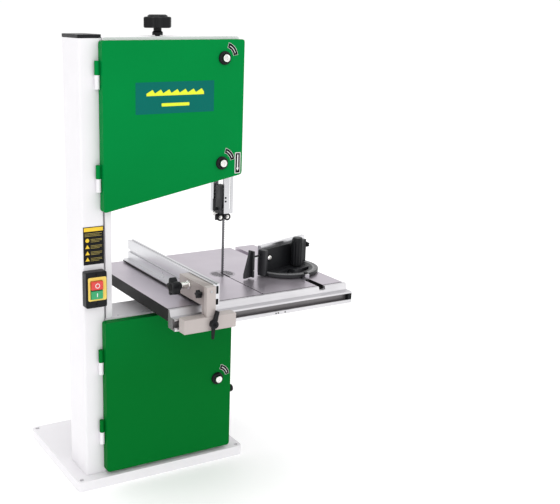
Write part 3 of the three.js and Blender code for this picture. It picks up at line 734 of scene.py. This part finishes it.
def build_warning_label():
    x, z = (-47.5, 8.5), (617, 716)
    detail("safety_label", soften(prism(round_box(x, z, 1.5), "xz", (25.2, 26)), 0.2), "column", BLACK_INK)
    band = round_box((x[0] + 2, x[1] - 2), (z[1] - 12, z[1] - 2), 1)
    sticker("safety_label_band", band, 0, "column", YELLOW_INK)
    shapes = []
    for i in range(3):
        level = z[1] - 17.5 - i * 3.4
        shapes.append(round_box((x[0] + 4, x[1] - 5 - 6 * (i % 2)), (level, level + 0.9), 0.3, 2))
    symbols = []
    for row in range(4):
        level = z[1] - 35 - row * 16.5
        cx = x[0] + 11
        if row == 0:
            symbols.append(arc(5.2, 0, 345, 23, (cx, level)))
        else:
            symbols.append([(cx - 6, level - 4.6), (cx + 6, level - 4.6), (cx, level + 5.4)])
        for line in range(3):
            top = level + 2.8 - line * 3.4
            shapes.append(round_box((x[0] + 20, x[1] - 5 - 7 * (line == 2)), (top - 0.9, top), 0.3, 2))
    bars = together(*[prism(outline, "xz", (25.0, 25.2)) for outline in shapes])
    detail("safety_label_lines", bars, "column", DIM_INK)
    signs = together(*[prism(outline, "xz", (25.0, 25.2)) for outline in symbols])
    detail("safety_label_symbols", signs, "column", YELLOW_INK)


def build_switch_details():
    stop, start = span("stop_button"), span("start_button")
    plate = prism(round_box((-46, 4.5), (527, 589), 4), "xz", (1.1, 2))
    window = block((stop[0].x - 0.8, stop[1].x + 0.8), (0, 4), (start[0].z - 0.8, stop[1].z + 0.8))
    detail("switch_plate", soften(carved(plate, window), 0.25), "switch_box", YELLOW_PLATE)
    centre = (stop[0].x + stop[1].x) / 2
    face, z = stop[0].y, (stop[0].z + stop[1].z) / 2
    ring = [(4.6, face), (4.6, face - 0.15), (6.4, face - 0.15), (6.4, face), (4.6, face)]
    detail("stop_button_mark", turned(ring, "y", (centre, z)), "stop_button", WHITE_INK)
    face, z = start[0].y, (start[0].z + start[1].z) / 2
    bar = block((centre - 1.1, centre + 1.1), (face - 0.15, face), (z - 5, z + 5))
    detail("start_button_mark", bar, "start_button", WHITE_INK)
    screws = [screw(centre, 2, z, "y", 2.6, 1.4) for z in (517.5, 596.5)]
    detail("switch_screws", together(*screws), "switch_box", DARK)


# ---------------------------------------------------------------- knobs


def knob_head(radius, lobes, depth, plane, along, centre, edge):
    return soften(prism(lobed(radius, lobes, depth, centre), plane, along), edge, 4, 50)


def build_knobs():
    x, y = 200, 105
    stem = [(0, 972), (6, 972), (6, 1185), (14, 1185), (14, 1192), (10.5, 1196), (10.5, 1206), (0, 1206)]
    head = knob_head(39, 6, 9, "xy", (1203, 1231), (x, y), 4)
    crown = turned([(0, 1229), (28, 1229), (25, 1234.5), (21, 1236.5), (0, 1236.5)], "z", (x, y))
    restyle("tension_knob", fused(turned(stem, "z", (x, y)), head, crown))
    tracking = fused(
        rod(5, "y", (130.3, 153), (x, 960)),
        rod(9, "y", (147, 153), (x, 960)),
        knob_head(20, 5, 5, "xz", (151.5, 166), (x, 960), 2.5),
    )
    restyle("tracking_knob", tracking)
    centre = (380, 860)
    wheel = fused(
        rod(10.2, "y", (70, 82), centre),
        rod(5, "y", (81, 160), centre),
        knob_head(34, 8, 4, "xz", (151, 166), centre, 2.5),
    )
    dish = turned([(0, 161.5), (14, 161.5), (22, 168), (0, 168)], "y", centre)
    restyle("guide_handwheel", carved(wheel, dish))
    large = (-137, 582)
    grip = fused(
        knob_head(23.5, 5, 8, "yz", (117, 137), large, 3.6),
        rod(11, "x", (136, 143), large),
        rod(5, "x", (142, 169.7), large),
    )
    restyle("fence_knob_large", grip)
    detail("fence_knob_large_cap", rod(9, "x", (116.2, 117.5), large), "fence_knob_large", DARK)
    sleeve = [(5, 147), (7.6, 147), (8, 148), (8, 166.5), (11, 166.8), (11, 169.2), (5, 169.2), (5, 147)]
    detail("fence_knob_large_sleeve", turned(sleeve, "x", large), "fence_knob_large", CHROME, "steel")
    small = (-203, 576)
    grip = fused(knob_head(11, 5, 3.5, "yz", (155, 166), small, 1.8), rod(4, "x", (165, 169.7), small))
    restyle("fence_knob_small", grip)
    side = 392
    profile = [(0, side - 22), (4, side - 22), (4, side + 2), (8, side + 2)]
    profile += [(10.5, side + 4), (11, side + 6), (11, side + 14)]
    profile += [(9.6, side + 17), (7, side + 18), (0, side + 18)]
    restyle("belt_tension_knob", turned(profile, "x", (42, 192)))


# ---------------------------------------------------------------- blade, wheels and guides


def build_blade():
    """The endless blade with its row of teeth along the front edge."""
    top_z, bottom_z, x, radius = 988, 245, 200, 175.6
    thickness, front, gullet, back = 0.8, 43.5, 46.1, 56.5
    straight = top_z - bottom_z
    pitch = 6.4
    half_turn = pi * (radius + thickness / 2)
    loop_length = 2 * straight + 2 * half_turn
    count = 2 * round(loop_length / pitch)

    def place(distance):
        """Point on the loop's inner face and its outward direction."""
        s = distance % loop_length
        if s < straight:
            return x + radius, bottom_z + s, 1, 0
        s -= straight
        if s < half_turn:
            angle = s / half_turn * pi
            return x + radius * cos(angle), top_z + radius * sin(angle), cos(angle), sin(angle)
        s -= half_turn
        if s < straight:
            return x - radius, top_z - s, -1, 0
        angle = pi + (s - straight) / half_turn * pi
        return x + radius * cos(angle), bottom_z + radius * sin(angle), cos(angle), sin(angle)

    bm = bmesh.new()
    rings = []
    for i in range(count):
        px, pz, nx, nz = place(i * loop_length / count)
        edge = front if i % 2 else gullet
        outer = (px + nx * thickness, pz + nz * thickness)
        rings.append(
            [
                bm.verts.new((px, edge, pz)),
                bm.verts.new((outer[0], edge, outer[1])),
                bm.verts.new((outer[0], back, outer[1])),
                bm.verts.new((px, back, pz)),
            ]
        )
    for i in range(count):
        first, second = rings[i], rings[(i + 1) % count]
        for k in range(4):
            m = (k + 1) % 4
            bm.faces.new((first[k], first[m], second[m], second[k]))
    restyle("blade", facing_out(bm))


SIDE_BEARINGS = ("guide_bearing_left", "guide_bearing_right")


def build_bearings():
    for node in (*SIDE_BEARINGS, "thrust_bearing"):
        low, high = span(node)
        mid = middle(node)
        axis = "x" if node == "thrust_bearing" else "y"
        along = (low.x, high.x) if axis == "x" else (low.y, high.y)
        centre = (mid.y, mid.z) if axis == "x" else (mid.x, mid.z)
        race = [
            (3.3, along[0]),
            (5.2, along[0]),
            (5.4, along[0] + 0.7),
            (8.2, along[0] + 0.7),
            (8.4, along[0]),
            (9.6, along[0]),
            (10, along[0] + 0.5),
            (10, along[1] - 0.5),
            (9.6, along[1]),
            (3.3, along[1]),
            (3.3, along[0]),
        ]
        restyle(node, turned(race, axis, centre), DARK, smooth=30)
        seal = [
            (5.4, along[0] + 0.69),
            (5.4, along[0] + 0.45),
            (8.2, along[0] + 0.45),
            (8.2, along[0] + 0.69),
            (5.4, along[0] + 0.69),
        ]
        detail(f"{node}_seal", turned(seal, axis, centre), node, FINISH["rubber"], "rubber")
        hub = [
            (3.3, along[0] - 0.1),
            (4.9, along[0] - 0.1),
            (4.9, along[0]),
            (3.3, along[0]),
            (3.3, along[0] - 0.1),
        ]
        detail(f"{node}_hub", turned(hub, axis, centre), node, CHROME)


def build_guide_details():
    guard_low, guard_high = span("blade_guard")
    screws = [screw(368, 36, z, "y", 3.2, 2) for z in (724, 781)]
    detail("guide_screws", together(*screws), "guide_block", SCREW, "steel")
    thumbscrew = (50, 711.5)
    knurl = soften(prism(lobed(5.5, 14, 0.9, thumbscrew, 6), "yz", (342, 348)), 0.6)
    stem = rod(2.4, "x", (348, 354.9), thumbscrew)
    detail("guide_thumbscrew", fused(knurl, stem), "guide_block", CHROME, "steel")
    ends = [rod(2.8, "y", (44.2, 45), (middle(node).x, middle(node).z), 24) for node in SIDE_BEARINGS]
    detail("guide_pin_ends", together(*ends), "guide_block", CHROME, "steel")
    centre = (guard_low.x + guard_high.x) / 2
    fold = block((guard_low.x, guard_low.x + 1.2), (30.2, 34), (guard_low.z + 60, guard_low.z + 108))
    detail("guard_fold", soften(fold, 0.2), "blade_guard", FINISH["steel"])
    bolts = [screw(centre - 9, 28.5, z, "y", 2.6, 1.5) for z in (746, 756)]
    detail("guard_screws", together(*bolts), "blade_guard", DARK, "steel")


# ---------------------------------------------------------------- table, rail and fence


def build_table_details():
    centre, top = (376, 50), 536
    disc = turned([(0, 532.8), (35.4, 532.8), (35.4, top - 0.4), (35.0, top), (0, top)], "z", centre, 96)
    restyle("table_insert", carved(disc, block((373.8, 381), (-40, 64), (530, 540))), INSERT_METAL, smooth=30)
    # Dark patches on the insert's top where its slots are: painted shade for the slot openings.
    slots = []
    for i in range(6):
        y = centre[1] - 20.5 + i * 7.6
        reach = sqrt(31**2 - (y - centre[1]) ** 2)
        for x in ((centre[0] - reach, centre[0] - 5), (centre[0] + 8, centre[0] + reach)):
            slots.append(prism(round_box(x, (y, y + 4), 1.6), "xy", (top, top + 0.1)))
    detail("insert_slot_shade_patches", together(*slots), "table_insert", DARK)
    # A dark disc under the insert: painted shade below it.
    floor = rod(31.8, "z", (531.8, 532.5), centre)
    detail("insert_shade_disc", carved(floor, block((373.5, 381.5), (-40, 90), (530, 540))), "table", DARK)
    edge = [block(x, (-163, -161.6), (top, top + 0.15)) for x in ((99, 374), (378, 545), (565, 629))]
    detail("table_front_edge", together(*edge), "table", DARK)
    # Thin strips in the table's dark side paint on the floor and one wall of the mitre slot's front part:
    # painted shade for the slot's depth.
    floor, wall, front = top - 9.5, SLOT_X + 9.5, (-162.8, -100)
    painted_shade_strips = (
        block((SLOT_X - 9.4, wall - 0.3), front, (floor, floor + 0.2)),
        block((wall - 0.25, wall), front, (floor + 0.2, top - 0.6)),
    )
    detail("mitre_slot_shade", together(*painted_shade_strips), "table", TABLE_PAINT)
    rail = [screw(x, -200, 492, "y", 2.0, 0.8) for x in (392, 399, 420)]
    detail("rail_screws", together(*rail), "front_rail", DARK)
    plug = soften(block((622, 633.6), (-194.6, -187.4), (493.4, 516.1)), 0.5)
    mouth = soften(block((622, 633.6), (-199.6, -194), (497.4, 513.6)), 0.4)
    detail("rail_end_plug", fused(plug, mouth), "front_rail", FINISH["black_plastic"], "black_plastic")


def build_fence_details():
    bracket_front = span("fence_bracket")[0].y
    bracket_screw = screw(180.5, bracket_front, 588, "y", 3.4, 2)
    detail("bracket_screw", bracket_screw, "fence_bracket", SCREW, "steel")
    pivot = (185, 506)
    front = span("fence_carrier")[0].y - 13.3
    detail("fence_lever_screw", screw(pivot[0], front, pivot[1], "y", 5, 2), "fence_lever", DARK)
    end = span("fence_bar")[0].y
    # Dark patches on the bar's end where its hollows open: painted shade.
    hollows = (round_box((200, 211), (546, 561), 1.5), round_box((204.5, 211), (574, 594), 1.5))
    shadows = together(*[prism(outline, "xz", (end - 0.12, end)) for outline in hollows])
    detail("fence_bar_hollow_shade", shadows, "fence_bar", DARK)


# ---------------------------------------------------------------- mitre gauge

MITRE_PIVOT = Vector((555, 10, 0))
MITRE_TURN = Matrix.Translation(MITRE_PIVOT) @ Matrix.Rotation(radians(17), 4, "Z")


def on_mitre_head(bm):
    bm.transform(MITRE_TURN)
    return bm


def build_mitre_gauge():
    radius, base, top, wall = 95, 538.1, 546.5, 612
    left = -radius - 9
    disc = prism(arc(radius, 180, 360, 64), "xy", (base, top))
    window = prism(arc(radius - 36, 195, 345, 40, (0, -12)), "xy", (base - 1, top + 1))
    body = fused(
        soften(carved(disc, window), 1.0),
        soften(block((left, radius), (-2, 10), (base, wall - 2)), 1.2),
        soften(block((left, left + 12), (-16, 8), (base, wall)), 1.5),
        soften(block((-12, 50), (-50, 2), (base, top + 1)), 0.8),
        soften(block((40, 47), (-22, 0), (top, wall - 12)), 1),
    )
    restyle("mitre_head", on_mitre_head(body))
    band = prism(sector(radius - 15, radius - 3, 184, 356, (0, 0)), "xy", (top, top + 0.25))
    detail("mitre_scale", on_mitre_head(band), "mitre_head", SCALE_GREY, "aluminium")
    ticks = []
    for degree in range(-84, 85, 3):
        angle = radians(270 + degree)
        long = 9 if degree % 15 == 0 else 5
        outer, inner = radius - 4, radius - 4 - long
        side = Vector((-sin(angle), cos(angle))) * 0.35
        ends = [Vector((cos(angle), sin(angle))) * r for r in (inner, outer)]
        corners = [ends[0] - side, ends[1] - side, ends[1] + side, ends[0] + side]
        ticks.append(prism([(c.x, c.y) for c in corners], "xy", (top + 0.25, top + 0.4)))
    detail("mitre_scale_ticks", on_mitre_head(together(*ticks)), "mitre_head", BLACK_INK)
    hold = (23, -26)
    grip = prism(lobed(17, 12, 1.6, hold, 8), "xy", (552, 618))
    foot = turned([(0, top + 1.3), (13, top + 1.3), (15, 553), (0, 553)], "z", hold)
    crown = turned([(0, 616), (15.8, 616), (16.2, 622), (14.5, 628), (12, 631), (0, 631)], "z", hold)
    handle = fused(soften(grip, 1.2, 3, 60), foot, crown)
    restyle("mitre_handle", on_mitre_head(handle))
    # A dark ring round the large screw's head: painted shade of its recess.
    recess = turned([(8, -2), (8, -2.3), (11, -2.3), (11, -2), (8, -2)], "y", (-70, 584))
    detail("mitre_screw_shade_ring", on_mitre_head(recess), "mitre_head", DARK)
    screws = together(screw(-70, -2, 584, "y", 7.5, 4), screw(74, -2, 584, "y", 5.5, 3))
    detail("mitre_fence_screws", on_mitre_head(screws), "mitre_head", CHROME, "steel")
    stop_screw = screw(-136, -4, 560, "y", 1.6, 1.5)
    detail("mitre_stop_screw", on_mitre_head(stop_screw), "mitre_stop", CHROME, "steel")
    knob = together(
        soften(prism(lobed(8, 5, 1.8, (2, 592)), "yz", (98.5, 107)), 1.4, 3, 50),
        rod(3, "x", (95, 98.4), (2, 592)),
    )
    detail("mitre_side_knob", on_mitre_head(knob), "mitre_head", FINISH["black_plastic"], "black_plastic")
    x, y, seat = 555, 10 - radius - 8, span("mitre_bar")[1].z
    outline = [(x - 5, y - 9), (x + 5, y - 9), (x + 5, y + 1), (x, y + 9), (x - 5, y + 1)]
    pointer = prism(outline, "xy", (seat, seat + 1.2))
    detail("mitre_pointer", soften(pointer, 0.3), "mitre_bar", CHROME)
    profile = [(0, 1.2), (5.2, 1.2), (5.2, 4.5), (4.2, 5.4), (0, 5.4)]
    cap = turned([(r, seat + z) for r, z in profile], "z", (x, y - 3), 32)
    detail("mitre_pointer_cap", cap, "mitre_bar", FINISH["black_plastic"], "black_plastic")


# ---------------------------------------------------------------- cabinets, base and motor

CORNER_ANGLES = (45, 135, 225, 315)  # four fasteners round a flange


def build_cabinet_details():
    ledge = 465
    screws = [screw(x, y, ledge, "z", 2.8, 1.4, 1) for x, y in ((53, 40), (121, 36.5), (127, 41), (300, 40))]
    detail("ledge_screws", together(*screws), "lower_housing", SCREW, "steel")
    back = span("upper_housing")[1].y
    plate_bolts = [(168, 905), (232, 905), (168, 1135), (232, 1135), (352, 848), (352, 876), (388, 876)]
    plate_bolts += [(200 + 35 * sx, 245 + 35 * sz) for sx, sz in ((1, 0), (-1, 0), (0, 1), (0, -1))]
    bolts = [hex_bolt(x, back, z, "y", 5, 3.6) for x, z in plate_bolts]
    detail("rear_bolts", together(*bolts), "upper_housing", SCREW, "steel")
    low, high = span("dust_port")
    centre = ((low.x + high.x) / 2, (low.z + high.z) / 2)
    profile = [
        (47.3, low.y),
        (60, low.y),
        (60, low.y + 2.6),
        (58.8, low.y + 3.7),
        (51.5, low.y + 3.7),
        (50, low.y + 5.5),
        (50, high.y - 12),
        (50.0, high.y - 11),
        (49.3, high.y - 10),
        (49.3, high.y - 2),
        (48.6, high.y),
        (47.3, high.y),
        (47.3, low.y),
    ]
    restyle("dust_port", turned(profile, "y", centre, 96), smooth=30)
    screws = []
    for angle in CORNER_ANGLES:
        x = centre[0] + 55.5 * cos(radians(angle))
        z = centre[1] + 55.5 * sin(radians(angle))
        screws.append(screw(x, low.y + 3.7, z, "y", 2.6, 1.6, 1))
    detail("dust_port_screws", together(*screws), "dust_port", SCREW, "steel")


def build_motor_details():
    x, z = 300, 130
    front, end = (corner.y for corner in span("motor"))
    # Dark patches on the motor's end where the fan cover's slots are: painted shade for the openings.
    slots = []
    for ring, count in ((18, 8), (32, 14), (46, 20)):
        for i in range(count):
            angle = 360 * i / count
            slot = sector(ring, ring + 8, angle, angle + 360 / count * 0.55, (x, z))
            slots.append(prism(slot, "xz", (end, end + 0.5)))
    detail("motor_fan_slot_shade", together(*slots), "motor", DARK)
    bolts = []
    for angle in CORNER_ANGLES:
        bx, bz = x + 62 * cos(radians(angle)), z + 62 * sin(radians(angle))
        bolts.append(hex_bolt(bx, front + 8, bz, "y", 4.5, 3.5))
    detail("motor_flange_bolts", together(*bolts), "motor", SCREW, "steel")
    box_y = (front + 40, front + 110)
    screws = [
        screw(x + sx * 34, (box_y[0] + box_y[1]) / 2 + sy * 29, z + 96, "z", 3, 1.8, 1)
        for sx in (-1, 1)
        for sy in (-1, 1)
    ]
    detail("terminal_box_screws", together(*screws), "motor", SCREW, "steel")
    gland_z, gland_y = z + 72, (box_y[0] + box_y[1]) / 2
    gland = [(0, 40), (9, 40), (9, 44), (11, 44.2), (11, 51), (8.5, 55), (4.2, 57), (4.2, 52), (0, 52)]
    gland = [(r, x + along) for r, along in gland]
    gland = turned(gland, "x", (gland_y, gland_z))
    detail("cable_gland", gland, "motor", FINISH["black_plastic"], "black_plastic")
    plate = prism(round_box((x - 28, x + 28), (box_y[0] + 14, box_y[1] - 14), 2), "xy", (z + 96, z + 96.4))
    detail("motor_plate", plate, "motor", FINISH["aluminium"], "aluminium")


# ---------------------------------------------------------------- studio


def build_studio():
    mesh = bpy.data.meshes.new("floor")
    reach = 30
    corners = [(-reach, -reach, 0), (reach, -reach, 0), (reach, reach, 0), (-reach, reach, 0)]
    mesh.from_pydata(corners, [], [(0, 1, 2, 3)])
    floor = bpy.data.objects.new("floor", mesh)
    bpy.context.scene.collection.objects.link(floor)
    paper = finish_material(
        "floor", (0.97, 0.97, 0.97), 0.7, drift=0.003, speck=0.005, patch=1.0, relief=0.00001
    )
    shader = paper.node_tree.nodes["Principled BSDF"]
    shader.inputs["Emission Color"].default_value = (1, 1, 1, 1)
    shader.inputs["Emission Strength"].default_value = 0.14
    mesh.materials.append(paper)
    world = bpy.data.worlds.new("studio")
    bpy.context.scene.world = world
    world.use_nodes = True
    background = world.node_tree.nodes["Background"]
    background.inputs["Color"].default_value = (1, 1, 1, 1)
    background.inputs["Strength"].default_value = 1.02
    lights = (
        ("key", (-2.6, -3.4, 3.2), (0, 0, 0.7), 2.6, 32),
        ("fill", (3.0, -2.6, 2.2), (0, 0, 0.6), 2.4, 10),
        ("top", (0.2, 0.4, 3.8), (0, 0, 0.6), 2.4, 22),
    )
    for name, place, target, size, power in lights:
        data = bpy.data.lights.new(name, "AREA")
        data.shape = "SQUARE"
        data.size = size
        data.energy = power
        lamp = bpy.data.objects.new(name, data)
        bpy.context.scene.collection.objects.link(lamp)
        lamp.location = place
        lamp.rotation_euler = (Vector(target) - Vector(place)).to_track_quat("-Z", "Y").to_euler()
    bpy.context.scene.view_settings.view_transform = "Standard"


def build_camera():
    yaw, pitch, roll = radians(27.56), radians(14.65), radians(-0.42)
    forward = Vector((sin(yaw) * cos(pitch), cos(yaw) * cos(pitch), -sin(pitch)))
    right = Vector((cos(yaw), -sin(yaw), 0))
    down = forward.cross(right)
    right, down = cos(roll) * right + sin(roll) * down, cos(roll) * down - sin(roll) * right
    data = bpy.data.cameras.new("camera")
    data.sensor_width = 36
    data.lens = 59.94
    data.shift_x = 0.182
    camera = bpy.data.objects.new("camera", data)
    bpy.context.scene.collection.objects.link(camera)
    turn = Matrix((right, -down, -forward)).transposed()
    camera.matrix_world = Matrix.Translation(Vector((-1.1748, -2.1787, 1.2522))) @ turn.to_4x4()
    bpy.context.scene.camera = camera


build_softened_nodes()
build_latches()
build_lock_signs()
build_door_labels()
build_warning_label()
build_switch_details()
build_knobs()
build_blade()
build_bearings()
build_guide_details()
build_table_details()
build_fence_details()
build_mitre_gauge()
build_cabinet_details()
build_motor_details()
build_studio()
build_camera()
